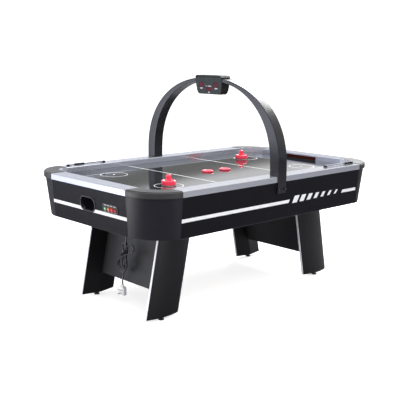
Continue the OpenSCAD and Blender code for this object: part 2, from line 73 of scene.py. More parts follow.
class Mat:
    def __init__(self, name, color, rough=0.5, metal=0.0, spec=0.5, coat=0.0, coat_rough=0.05, sheen=0.0, **kw):
        self.m = bpy.data.materials.new(name)
        self.m.use_nodes = True
        self.t = self.m.node_tree
        self.b = self.t.nodes["Principled BSDF"]
        self.b.inputs["Base Color"].default_value = (*color, 1)
        self.b.inputs["Roughness"].default_value = rough
        self.b.inputs["Metallic"].default_value = metal
        self.b.inputs["Specular IOR Level"].default_value = spec
        self.b.inputs["Coat Weight"].default_value = coat
        self.b.inputs["Coat Roughness"].default_value = coat_rough
        if sheen:
            self.b.inputs["Sheen Weight"].default_value = sheen
            self.b.inputs["Sheen Roughness"].default_value = 0.5
        self.color = color
        self.rough = rough
        self.co = self.t.nodes.new("ShaderNodeTexCoord")
        self.bumps = None

    def node(self, kind, **props):
        n = self.t.nodes.new(kind)
        for k, v in props.items():
            setattr(n, k, v)
        return n

    def link(self, a, b):
        self.t.links.new(a, b)

    def coords(self, scale=(1, 1, 1), rot=(0, 0, 0)):
        mp = self.node("ShaderNodeMapping")
        mp.inputs["Scale"].default_value = scale
        mp.inputs["Rotation"].default_value = rot
        self.link(self.co.outputs["Object"], mp.inputs["Vector"])
        return mp.outputs["Vector"]

    def noise(self, scale, detail=3, rough=0.5, stretch=(1, 1, 1)):
        n = self.node("ShaderNodeTexNoise")
        n.inputs["Scale"].default_value = scale
        n.inputs["Detail"].default_value = detail
        n.inputs["Roughness"].default_value = rough
        self.link(self.coords(stretch), n.inputs["Vector"])
        return n.outputs["Fac"]

    def ramp(self, fac, lo, hi, a, b):
        n = self.node("ShaderNodeMapRange")
        n.inputs["From Min"].default_value = lo
        n.inputs["From Max"].default_value = hi
        n.inputs["To Min"].default_value = a
        n.inputs["To Max"].default_value = b
        self.link(fac, n.inputs["Value"])
        return n.outputs["Result"]

    def math(self, op, a, b=None, c=None):
        n = self.node("ShaderNodeMath", operation=op)
        for i, v in enumerate((a, b, c)):
            if v is None:
                continue
            if isinstance(v, (int, float)):
                n.inputs[i].default_value = v
            else:
                self.link(v, n.inputs[i])
        return n.outputs[0]

    def mix(self, fac, a, b):
        n = self.node("ShaderNodeMix", data_type="RGBA")
        if isinstance(fac, (int, float)):
            n.inputs[0].default_value = fac
        else:
            self.link(fac, n.inputs[0])
        for i, v in ((6, a), (7, b)):
            if isinstance(v, tuple):
                n.inputs[i].default_value = (*v, 1)
            else:
                self.link(v, n.inputs[i])
        return n.outputs[2]

    def vary_color(self, scale, amount, detail=4, stretch=(1, 1, 1), src=None):
        """base colour wanders between darker and lighter."""
        f = self.noise(scale, detail, 0.55, stretch)
        dark = tuple(c * (1 - amount) for c in self.color)
        light = tuple(min(1, c * (1 + amount)) for c in self.color)
        out = self.mix(self.ramp(f, 0.3, 0.7, 0, 1), dark, light)
        self.link(out, self.b.inputs["Base Color"])
        return out

    def vary_rough(self, scale, amount, detail=4, stretch=(1, 1, 1)):
        f = self.noise(scale, detail, 0.6, stretch)
        self.link(self.ramp(f, 0.3, 0.7, max(0.02, self.rough - amount), min(1, self.rough + amount)), self.b.inputs["Roughness"])

    def bump(self, height, strength, dist):
        n = self.node("ShaderNodeBump")
        n.inputs["Strength"].default_value = strength
        n.inputs["Distance"].default_value = dist
        self.link(height, n.inputs["Height"])
        if self.bumps is not None:
            self.link(self.bumps, n.inputs["Normal"])
        self.bumps = n.outputs["Normal"]
        self.link(self.bumps, self.b.inputs["Normal"])

    def edge_wear(self, base_socket, wear_color, lo=0.52, hi=0.6, amount=0.6):
        """lighter wear on convex edges."""
        g = self.node("ShaderNodeNewGeometry")
        f = self.ramp(g.outputs["Pointiness"], lo, hi, 0, amount)
        brk = self.ramp(self.noise(90, 4), 0.35, 0.65, 0.2, 1)
        out = self.mix(self.math("MULTIPLY", f, brk), base_socket, wear_color)
        self.link(out, self.b.inputs["Base Color"])

def laminate(name, color, rough=0.38, spec=0.25, coat=0.0):
    a = Mat(name, color, rough, spec=spec, coat=coat, coat_rough=0.12)
    a.vary_color(6, 0.12)
    a.vary_rough(25, 0.05)
    a.bump(a.noise(900, 2), 0.12, 0.0003)
    a.bump(a.noise(7, 2), 0.08, 0.004)
    return a

def plastic(name, color, rough=0.3, spec=0.5, coat=0.0, grain=1400, depth=0.0002, sub=0.0):
    a = Mat(name, color, rough, spec=spec, coat=coat)
    a.vary_color(30, 0.06)
    a.vary_rough(60, 0.05)
    a.bump(a.noise(grain, 2), 0.25, depth)
    if sub:
        a.b.inputs["Subsurface Weight"].default_value = sub
        a.b.inputs["Subsurface Radius"].default_value = (0.004, 0.001, 0.001)
        a.b.inputs["Subsurface Scale"].default_value = 1.0
    return a

def brushed(name, color, rough, along, spec=0.5):
    """brushed aluminium with its grain along an axis."""
    s = {"x": (0.6, 160, 160), "y": (160, 0.6, 160)}[along]
    a = Mat(name, color, rough, metal=1.0, spec=spec)
    f = a.noise(14, 5, 0.7, s)
    dark = tuple(c * 0.86 for c in color)
    out = a.mix(a.ramp(f, 0.3, 0.7, 0, 1), dark, color)
    a.link(out, a.b.inputs["Base Color"])
    a.link(a.ramp(f, 0.3, 0.7, rough - 0.06, rough + 0.08), a.b.inputs["Roughness"])
    a.bump(f, 0.12, 0.0002)
    return a

def obj_axes(a):
    s = a.node("ShaderNodeSeparateXYZ")
    a.link(a.co.outputs["Object"], s.inputs[0])
    return s.outputs

def face_up(a):
    """1 on faces that look up, in the object's own frame."""
    s = a.node("ShaderNodeSeparateXYZ")
    a.link(a.co.outputs["Normal"], s.inputs[0])
    return s.outputs

def obj_axes(a):
    s = a.node("ShaderNodeSeparateXYZ")
    a.link(a.co.outputs["Object"], s.inputs[0])
    return s.outputs

def face_up(a):
    """1 on faces that look up, in the object's own frame."""
    s = a.node("ShaderNodeSeparateXYZ")
    a.link(a.co.outputs["Normal"], s.inputs[0])
    return s.outputs

def obj_axes(a):
    s = a.node("ShaderNodeSeparateXYZ")
    a.link(a.co.outputs["Object"], s.inputs[0])
    return s.outputs

def face_up(a):
    """1 on faces that look up, in the object's own frame."""
    s = a.node("ShaderNodeSeparateXYZ")
    a.link(a.co.outputs["Normal"], s.inputs[0])
    return s.outputs

def obj_axes(a):
    s = a.node("ShaderNodeSeparateXYZ")
    a.link(a.co.outputs["Object"], s.inputs[0])
    return s.outputs

def face_up(a):
    """1 on faces that look up, in the object's own frame."""
    s = a.node("ShaderNodeSeparateXYZ")
    a.link(a.co.outputs["Normal"], s.inputs[0])
    return s.outputs

def obj_axes(a):
    s = a.node("ShaderNodeSeparateXYZ")
    a.link(a.co.outputs["Object"], s.inputs[0])
    return s.outputs

def face_up(a):
    """1 on faces that look up, in the object's own frame."""
    s = a.node("ShaderNodeSeparateXYZ")
    a.link(a.co.outputs["Normal"], s.inputs[0])
    return s.outputs

def obj_axes(a):
    s = a.node("ShaderNodeSeparateXYZ")
    a.link(a.co.outputs["Object"], s.inputs[0])
    return s.outputs

def face_up(a):
    """1 on faces that look up, in the object's own frame."""
    s = a.node("ShaderNodeSeparateXYZ")
    a.link(a.co.outputs["Normal"], s.inputs[0])
    return s.outputs

def obj_axes(a):
    s = a.node("ShaderNodeSeparateXYZ")
    a.link(a.co.outputs["Object"], s.inputs[0])
    return s.outputs

def face_up(a):
    """1 on faces that look up, in the object's own frame."""
    s = a.node("ShaderNodeSeparateXYZ")
    a.link(a.co.outputs["Normal"], s.inputs[0])
    return s.outputs

def obj_axes(a):
    s = a.node("ShaderNodeSeparateXYZ")
    a.link(a.co.outputs["Object"], s.inputs[0])
    return s.outputs

def face_up(a):
    """1 on faces that look up, in the object's own frame."""
    s = a.node("ShaderNodeSeparateXYZ")
    a.link(a.co.outputs["Normal"], s.inputs[0])
    return s.outputs

def obj_axes(a):
    s = a.node("ShaderNodeSeparateXYZ")
    a.link(a.co.outputs["Object"], s.inputs[0])
    return s.outputs

def face_up(a):
    """1 on faces that look up, in the object's own frame."""
    s = a.node("ShaderNodeSeparateXYZ")
    a.link(a.co.outputs["Normal"], s.inputs[0])
    return s.outputs

def obj_axes(a):
    s = a.node("ShaderNodeSeparateXYZ")
    a.link(a.co.outputs["Object"], s.inputs[0])
    return s.outputs

def face_up(a):
    """1 on faces that look up, in the object's own frame."""
    s = a.node("ShaderNodeSeparateXYZ")
    a.link(a.co.outputs["Normal"], s.inputs[0])
    return s.outputs

def obj_axes(a):
    s = a.node("ShaderNodeSeparateXYZ")
    a.link(a.co.outputs["Object"], s.inputs[0])
    return s.outputs

def face_up(a):
    """1 on faces that look up, in the object's own frame."""
    s = a.node("ShaderNodeSeparateXYZ")
    a.link(a.co.outputs["Normal"], s.inputs[0])
    return s.outputs

def obj_axes(a):
    s = a.node("ShaderNodeSeparateXYZ")
    a.link(a.co.outputs["Object"], s.inputs[0])
    return s.outputs

def face_up(a):
    """1 on faces that look up, in the object's own frame."""
    s = a.node("ShaderNodeSeparateXYZ")
    a.link(a.co.outputs["Normal"], s.inputs[0])
    return s.outputs

M = {}
M["apron"] = laminate("black_laminate", (0.0054, 0.0051, 0.0080), 0.46, 0.12)
_a = M["apron"]
_lip = _a.math("LESS_THAN", obj_axes(_a)[2], 0.5378)
_a.link(_a.mix(_lip, _a.b.inputs["Base Color"].links[0].from_socket, (0.075, 0.075, 0.080)), _a.b.inputs["Base Color"])
M["leg"] = laminate("leg_black", (0.0068, 0.0066, 0.0073), 0.36, 0.40)
M["panel_end"] = laminate("end_panel_black", (0.0190, 0.0186, 0.0196), 0.46, 0.24)
M["corner"] = plastic("corner_black", (0.0116, 0.0110, 0.0165), 0.42, 0.26, grain=2200, depth=0.00008)
M["cap"] = plastic("cap_grey", (0.036, 0.036, 0.036), 0.42, 0.35, grain=2000, depth=0.0001)
M["rail_x"] = brushed("rail_aluminium_long", (0.70, 0.72, 0.78), 0.18, "x")
M["rail_y"] = brushed("rail_aluminium_end", (0.50, 0.52, 0.59), 0.34, "y")
# liner: the same aluminium as the rails, with its base colour set brighter than theirs as a painted highlight
M["liner"] = brushed("rail_aluminium_liner", (0.78, 0.80, 0.86), 0.30, "x")
for _k in ("rail_x", "rail_y", "liner"):
    M[_k].b.inputs["Metallic"].default_value = 0.8
M["black"] = plastic("black_plastic", (0.010, 0.010, 0.011), 0.42, 0.3)
_a = M["arch"] = Mat("arch_charcoal", (0.0062, 0.0059, 0.0078), 0.24, spec=0.60)
_a.vary_color(9, 0.12)
_a.vary_rough(12, 0.02)
_a.bump(_a.noise(9, 2), 0.06, 0.0015)
M["bezel"] = plastic("bezel_black", (0.015, 0.015, 0.017), 0.27, 0.6)
M["scorer"] = plastic("scorer_black", (0.0085, 0.0092, 0.0090), 0.36, 0.32)
_a = M["scorer"]
_s = _a.node("ShaderNodeSeparateXYZ")
_a.link(_a.co.outputs["Normal"], _s.inputs[0])
_front = _a.ramp(_a.math("ABSOLUTE", _s.outputs[0]), 0.6, 0.9, 0, 1)
_a.link(_a.mix(_front, _a.b.inputs["Base Color"].links[0].from_socket, (0.0100, 0.0170, 0.0132)), _a.b.inputs["Base Color"])
M["stripe"] = plastic("white_vinyl", (0.88, 0.88, 0.89), 0.4, 0.4, depth=0.0001)
M["dark_steel"] = plastic("dark_steel", (0.035, 0.035, 0.038), 0.32, 0.6)
M["edging"] = plastic("silver_edging", rgb((240, 240, 243)), 0.30, 0.7)
M["wood"] = Mat("plain_wood", (0.42, 0.27, 0.14), 0.6)
_w = M["wood"]
_f = _w.noise(3, 6, 0.65, (1.2, 22, 22))
_w.link(_w.mix(_w.ramp(_f, 0.3, 0.7, 0, 1), (0.26, 0.15, 0.07), (0.5, 0.34, 0.19)), _w.b.inputs["Base Color"])
_w.bump(_f, 0.2, 0.0006)
M["window"] = plastic("smoked_red", (0.048, 0.003, 0.011), 0.30, 0.22, coat=0.0)
M["board"] = plastic("circuit_green", (0.02, 0.15, 0.06), 0.5)
M["motor"] = plastic("motor_alloy", (0.3, 0.3, 0.31), 0.45)
M["white"] = plastic("white_plastic", (0.88, 0.88, 0.90), 0.3, sub=0.1)
M["red"] = plastic("red_plastic", (0.92, 0.045, 0.095), 0.2, 0.5, coat=0.5, sub=0.15, grain=500)
M["cord"] = plastic("cord_rubber", (0.022, 0.022, 0.023), 0.34, 0.7)
M["tie"] = plastic("tie_black", (0.010, 0.010, 0.010), 0.3, 0.5)
M["felt"] = Mat("felt", (0.5, 0.45, 0.4), 0.95, sheen=0.5)
M["felt"].vary_color(400, 0.25)
M["felt"].bump(M["felt"].noise(900, 4), 0.5, 0.0006)
M["print"] = plastic("white_print", (0.85, 0.85, 0.86), 0.25, 0.5)
M["small_print"] = plastic("grey_white_print", (0.50, 0.50, 0.52), 0.3, 0.4)
M["ring"] = plastic("grey_print", (0.11, 0.115, 0.125), 0.4, 0.4)

# goal boxes and bezels: black, with a red-brown tint just inside the top of the slot, which also gets a painted red
# glow (emission)
g = M["goal"] = plastic("goal_black", (0.006, 0.006, 0.0065), 0.5, 0.25)
ax = obj_axes(g)
zf = g.math("MULTIPLY", g.ramp(ax[2], 0.748, 0.760, 0, 1), g.math("LESS_THAN", ax[2], 0.774))
xf = g.math("GREATER_THAN", g.math("ABSOLUTE", ax[0]), 0.876)
tint = g.math("MULTIPLY", zf, xf)
g.link(g.mix(tint, (0.0085, 0.008, 0.0095), (0.085, 0.020, 0.014)), g.b.inputs["Base Color"])
# painted glow: the slot band emits red light although nothing there is a lamp
g.link(g.mix(tint, (0.0055, 0.0045, 0.0070), (0.040, 0.009, 0.006)), g.b.inputs["Emission Color"])
g.b.inputs["Emission Strength"].default_value = 0.6

# score rods: silver rod, black end blocks
st = M["track"] = Mat("track_steel", (0.72, 0.72, 0.74), 0.25, metal=1.0)
ax = obj_axes(st)
cen = st.math("SUBTRACT", st.math("MULTIPLY", st.math("LESS_THAN", ax[1], 0.0), 1.234), 0.606)
endm = st.math("GREATER_THAN", st.math("ABSOLUTE", st.math("SUBTRACT", ax[0], cen)), 0.1295)
fb = st.noise(14, 5, 0.7, (0.6, 160, 160))
st.link(st.mix(endm, st.mix(st.ramp(fb, 0.3, 0.7, 0, 1), (0.20, 0.20, 0.26), (0.27, 0.27, 0.34)), (0.010, 0.010, 0.012)), st.b.inputs["Base Color"])
st.link(st.math("MULTIPLY", st.math("SUBTRACT", 1.0, endm), 0.45), st.b.inputs["Metallic"])
st.link(st.ramp(fb, 0.3, 0.7, 0.30, 0.42), st.b.inputs["Roughness"])
st.bump(fb, 0.1, 0.0002)

# plug: white moulding with metal pins
pl = M["plug"] = Mat("plug_white", (0.84, 0.84, 0.86), 0.28, spec=0.5)
ax = obj_axes(pl)
pin = pl.math("LESS_THAN", ax[0], -0.7153)
nz = pl.noise(60, 4)
pl.link(pl.mix(pin, pl.mix(pl.ramp(nz, 0.3, 0.7, 0, 1), (0.90, 0.90, 0.91), (0.95, 0.95, 0.96)), (0.75, 0.71, 0.63)), pl.b.inputs["Base Color"])
pl.link(pin, pl.b.inputs["Metallic"])
pl.link(pl.ramp(nz, 0.3, 0.7, 0.22, 0.34), pl.b.inputs["Roughness"])
pl.bump(pl.noise(1500, 2), 0.15, 0.0001)

# buttons: a painted highlight (bright middle) in a coloured dome, with the same colour fed to emission as a painted
# glow
TH = math.atan(19 / 229.0)
def panel_point(u, v, h=0.0):
    """a point on the left end's face: u to the viewer's right of the panel's middle, v up the face, h outward, in metres."""
    st_, ct_ = math.sin(TH), math.cos(TH)
    sk = 0.977 - 0.019 * (0.765 - 0.673) / 0.229
    return Vector((-sk - st_ * v - ct_ * h, -0.216 - u, 0.673 + ct_ * v - st_ * h))

for k, (i, c, painted_highlight) in {"green": (0, (0.010, 0.16, 0.06), (0.45, 0.95, 0.62)), "amber": (1, (0.40, 0.05, 0.018), (0.95, 0.36, 0.20)),
                       "redb": (2, (0.38, 0.014, 0.007), (0.95, 0.10, 0.05)), "maroon": (3, (0.17, 0.004, 0.014), (0.62, 0.035, 0.07))}.items():
    a = M[k] = Mat("button_" + k, c, 0.2, spec=0.5, coat=0.5)
    mid = panel_point(0.030 * i - 0.045, -0.005, 0.006)
    vm = a.node("ShaderNodeVectorMath", operation="DISTANCE")
    a.link(a.co.outputs["Object"], vm.inputs[0])
    vm.inputs[1].default_value = mid
    # painted highlight: the colour brightens towards the dome's middle, by distance from it
    f = a.ramp(vm.outputs["Value"], 0.0095, 0.002, 0, 1)
    f = a.math("MULTIPLY", f, a.ramp(a.noise(220, 3), 0.3, 0.7, 0.8, 1.0))
    col = a.mix(f, c, painted_highlight)
    a.link(col, a.b.inputs["Base Color"])
    # painted glow: the button colour, painted highlight included, is also emitted
    a.link(col, a.b.inputs["Emission Color"])
    a.b.inputs["Emission Strength"].default_value = 0.13
    a.bump(a.noise(700, 2), 0.08, 0.0001)

led = Mat("led_red", (0.125, 0.003, 0.017), 0.5, spec=0.15)
led.b.inputs["Emission Color"].default_value = (0.60, 0.004, 0.060, 1)
led.b.inputs["Emission Strength"].default_value = 0.22
_n = led.noise(600, 2)
led.link(led.mix(led.ramp(_n, 0.3, 0.7, 0, 1), (0.10, 0.002, 0.014), (0.15, 0.004, 0.020)), led.b.inputs["Base Color"])
M["led"] = led

# playing surface: dark gloss board drilled with a fine grid of air holes
p = Mat("playfield_laminate", (0.030, 0.032, 0.036), 0.05, spec=0.68, coat=0.30, coat_rough=0.03)
sep = p.node("ShaderNodeSeparateXYZ")
p.link(p.co.outputs["Object"], sep.inputs[0])
def cell(axis):
    return p.math("SUBTRACT", p.math("FRACT", p.math("DIVIDE", sep.outputs[axis], 0.025)), 0.5)
rr = p.math("SQRT", p.math("ADD", p.math("POWER", cell(0), 2.0), p.math("POWER", cell(1), 2.0)))
hole = p.math("LESS_THAN", rr, 0.036)
col = p.mix(p.ramp(p.noise(5, 4), 0.3, 0.7, 0, 1), (0.020, 0.022, 0.026), (0.030, 0.032, 0.037))
scratch = p.noise(30, 6, 0.8, (1, 9, 1))
# air holes are near-black dots on the flat board: painted shade of the open holes
p.link(p.mix(hole, col, (0.001, 0.001, 0.001)), p.b.inputs["Base Color"])
p.link(p.math("ADD", p.ramp(scratch, 0.35, 0.75, 0.035, 0.085), p.math("MULTIPLY", hole, 0.6)), p.b.inputs["Roughness"])
p.bump(p.noise(4, 3), 0.03, 0.0012)
M["playfield"] = p

def paint(node, mat, bevel=0.0, seg=2, smooth=35, clamp=True):
    o = N[node]
    o.data.materials.clear()
    o.data.materials.append(M[mat].m)
    if smooth:
        me = o.data
        me.polygons.foreach_set("use_smooth", [True] * len(me.polygons))
    w = o.modifiers.new("weld", "WELD")
    w.merge_threshold = 0.00002
    if bevel:
        b = o.modifiers.new("bevel", "BEVEL")
        b.width = bevel
        b.segments = seg
        b.limit_method = "ANGLE"
        b.angle_limit = math.radians(smooth or 35)
        b.harden_normals = False
        b.use_clamp_overlap = clamp
    if smooth:
        s = o.modifiers.new("smooth", "WEIGHTED_NORMAL")
        s.keep_sharp = True
        s.weight = 100
    return o

for n in ("apron_near", "apron_far", "apron_left", "apron_right"):
    paint(n, "apron", 0.0012)
paint("end_panels", "panel_end", 0.0015)
for n in ("leg_left_near", "leg_left_far", "leg_right_near", "leg_right_far"):
    paint(n, "leg", 0.0012)
paint("leg_trims", "edging", 0.0008)
paint("corner_panels", "corner", 0.0015)
paint("corner_caps", "cap", 0.003, 3)
if "corner_liners" in N:
    paint("corner_liners", "liner", 0.0006)
paint("rail_near", "rail_x", 0.0008, 2, clamp=False)
paint("rail_far", "rail_x", 0.0008, 2, clamp=False)
paint("rail_left", "rail_y", 0.0008, 2, clamp=False)
paint("rail_right", "rail_y", 0.0008, 2, clamp=False)
paint("playfield", "playfield")
for n in ("plenum_frame", "plenum_floor", "cabinet_floor"):
    paint(n, "wood")
paint("goal_boxes", "goal")
paint("return_bezels", "bezel", 0.0015, 3)
for n in ("control_panel", "blower_housing", "intake_grille", "slider_near", "slider_far", "strain_relief"):
    paint(n, "black", 0.0008)
paint("arch_near", "arch", 0.004, 3)
paint("arch_far", "arch", 0.004, 3)
paint("scorer_front", "scorer", 0.002, 3)
paint("scorer_back", "scorer", 0.002, 3)
paint("display_windows", "window", 0.0004)
paint("led_digits", "led")
paint("scorer_board", "board", 0.0003)
paint("screws_and_bolts", "dark_steel", 0.0008)
paint("score_tracks", "track", 0.0008)
paint("stripes", "stripe")
paint("leg_brackets", "dark_steel", 0.0005)
for n in ("foot_left_near", "foot_left_far", "foot_right_near", "foot_right_far"):
    paint(n, "dark_steel", 0.0012)
paint("blower_motor", "motor", 0.002)
paint("impeller", "white")
paint("pusher_left", "red", 0.0012, 2)
paint("pusher_right", "red", 0.0012, 2)
paint("puck_a", "red", 0.0004, 2)
paint("puck_b", "red", 0.0004, 2)
paint("pusher_left_felt", "felt")
paint("pusher_right_felt", "felt")
for n, k in (("button_green", "green"), ("button_amber", "amber"), ("button_red", "redb"), ("button_maroon", "maroon")):
    paint(n, k, 0.0015, 3)
for n in ("cord_drop", "cord_hank", "cord_tail"):
    paint(n, "cord")
paint("plug", "plug", 0.002, 3)

# ------------------------------------------------------------------ helpers for the added pieces
def mesh_piece(name, verts, faces, mat, body, slot=None, smooth=False):
    me = bpy.data.meshes.new(name)
    me.from_pydata([tuple(v) for v in verts], [], faces)
    me.update()
    bm = bmesh.new()
    bm.from_mesh(me)
    bmesh.ops.recalc_face_normals(bm, faces=bm.faces)
    bm.to_mesh(me)
    bm.free()
    if smooth:
        me.polygons.foreach_set("use_smooth", [True] * len(me.polygons))
    o = bpy.data.objects.new(name, me)
    SC.collection.objects.link(o)
    me.materials.append(M[mat].m)
    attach(o, body)
    return o

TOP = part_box("playfield")[1].z

def slab(outline, z0, z1, hole=None):
    """closed thin slab from an outline, or a ring between two outlines of equal count."""
    n = len(outline)
    v, f = [], []
    if hole is None:
        v = [(x, y, z0) for x, y in outline] + [(x, y, z1) for x, y in outline]
        f = [list(range(n))[::-1], list(range(n, 2 * n))] + [[i, (i + 1) % n, n + (i + 1) % n, n + i] for i in range(n)]
    else:
        for ring, z in ((outline, z0), (outline, z1), (hole, z0), (hole, z1)):
            v += [(x, y, z) for x, y in ring]
        for i in range(n):
            j = (i + 1) % n
            f += [[i, j, n + j, n + i], [2 * n + j, 2 * n + i, 3 * n + i, 3 * n + j], [n + i, n + j, 3 * n + j, 3 * n + i], [j, i, 2 * n + i, 2 * n + j]]
    return v, f

def join(parts):
    v, f = [], []
    for a, b in parts:
        k = len(v)
        v += a
        f += [[i + k for i in q] for q in b]
    return v, f

def circle(cx, cy, r, n=72):
    return [(cx + r * math.cos(2 * math.pi * k / n), cy + r * math.sin(2 * math.pi * k / n)) for k in range(n)]

def rrect(cx, cy, w, h, r, n=6):
    out = []
    for sx, sy, a0 in ((1, 1, 0), (-1, 1, 90), (-1, -1, 180), (1, -1, 270)):
        for k in range(n + 1):
            a = math.radians(a0 + 90 * k / n)
            out.append((cx + sx * (w / 2 - r) + r * math.cos(a), cy + sy * (h / 2 - r) + r * math.sin(a)))
    return out

def placed(part, fn):
    return [fn(*v) for v in part[0]], part[1]

# ------------------------------------------------------------------ printed lines of the rink
parts = []
for x in (-0.297, 0.297):
    parts.append(slab([(x - 0.0035, -0.4995), (x + 0.0035, -0.4995), (x + 0.0035, 0.4995), (x - 0.0035, 0.4995)], TOP, TOP + 0.00015))
for x in (-0.59, 0.59):
    for y in (-0.262, 0.262):
        parts.append(slab(circle(x, y, 0.086), TOP, TOP + 0.00015, circle(x, y, 0.0815)))
        parts.append(slab(circle(x, y, 0.008, 24), TOP, TOP + 0.00015))
mesh_piece("rink_lines", *join(parts), "print", "table", "white_vinyl")

# ------------------------------------------------------------------ control panel print
H = 0.003
parts = [slab(rrect(0, 0, 0.132, 0.044, 0.006), H, H + 0.0002, rrect(0, 0, 0.1295, 0.0415, 0.0048))]
mesh_piece("panel_outline", *placed(join(parts), panel_point), "ring", "table", "black_plastic")
parts = []
def tick(u, v, w, h):
    parts.append(slab([(u - w / 2, v - h / 2), (u + w / 2, v - h / 2), (u + w / 2, v + h / 2), (u - w / 2, v + h / 2)], H, H + 0.0002))
for u, w in ((-0.044, 0.022), (-0.0165, 0.020), (0.0115, 0.024), (0.0415, 0.020)):
    tick(u, 0.0160, w, 0.0042)
for u, w in ((-0.045, 0.008), (-0.015, 0.009), (0.016, 0.012), (0.045, 0.014)):
    tick(u, -0.0195, w, 0.0026)
mesh_piece("panel_marks", *placed(join(parts), panel_point), "small_print", "table", "white_vinyl")

# ------------------------------------------------------------------ score unit: lit figures and small marks
def face_x(z):
    return 0.030 + 0.010 * (z - 1.256) / (1.363 - 1.256)

WIN = ((0.067, 1.315, 0.020), (-0.067, 1.315, 0.020), (0.0, 1.288, 0.0165))
def figure(cu, cv, h, segs):
    """seven-segment figure in the (u, v) plane."""
    w, t, g_ = h * 0.52, h * 0.15, h * 0.02
    out = []
    def hexa(u0, v0, u1, v1):
        if abs(v1 - v0) < 1e-9:
            return [(u0, v0), (u0 + t / 2, v0 + t / 2), (u1 - t / 2, v0 + t / 2), (u1, v0), (u1 - t / 2, v0 - t / 2), (u0 + t / 2, v0 - t / 2)]
        return [(u0, v0), (u0 - t / 2, v0 + t / 2), (u0 - t / 2, v1 - t / 2), (u0, v1), (u0 + t / 2, v1 - t / 2), (u0 + t / 2, v0 + t / 2)]
    xs, ys = w / 2 - t / 2, h / 2 - t / 2
    lines = {0: (-xs + g_, ys, xs - g_, ys), 1: (xs, g_, xs, ys - g_), 2: (xs, -ys + g_, xs, -g_), 3: (-xs + g_, -ys, xs - g_, -ys), 4: (-xs, -ys + g_, -xs, -g_), 5: (-xs, g_, -xs, ys - g_), 6: (-xs + g_, 0, xs - g_, 0)}
    for k in segs:
        out.append([(cu + a, cv + b) for a, b in hexa(*lines[k])])
    return out

DIG = {"0": (0, 1, 2, 3, 4, 5), "3": (0, 1, 2, 3, 6), "5": (0, 2, 3, 5, 6), "7": (0, 1, 2), "8": (0, 1, 2, 3, 4, 5, 6)}
lit, marks = [], []
for side in (1, -1):
    def on_face(u, v, h, side=side):
        x = face_x(v) - 0.0008 + h
        return (-side * x, -side * u, v)
    for (y, z, h), text in zip(WIN, ("08", "08", "808")):
        for i, ch in enumerate(text):
            for outline in figure(y + (i - (len(text) - 1) / 2) * h * 0.80, z, h, DIG[ch]):
                lit.append(placed(slab(outline, 0.0, 0.0005), on_face))
    def mark(u, v, w, hh):
        q = slab([(u - w / 2, v - hh / 2), (u + w / 2, v - hh / 2), (u + w / 2, v + hh / 2), (u - w / 2, v + hh / 2)], 0.0008, 0.0010)
        marks.append(placed(q, on_face))
    for u in (-0.067, 0.067):
        mark(u, 1.2925, 0.024, 0.0085)
    mark(-0.020, 1.3065, 0.012, 0.0050)
    mark(0.009, 1.3065, 0.030, 0.0065)
    mark(0.0, 1.2670, 0.014, 0.0085)
digits = mesh_piece("score_figures", *join(lit), "led", "table", "led_red")
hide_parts("led_digits")
mesh_piece("score_marks", *join(marks), "small_print", "table", "white_vinyl")

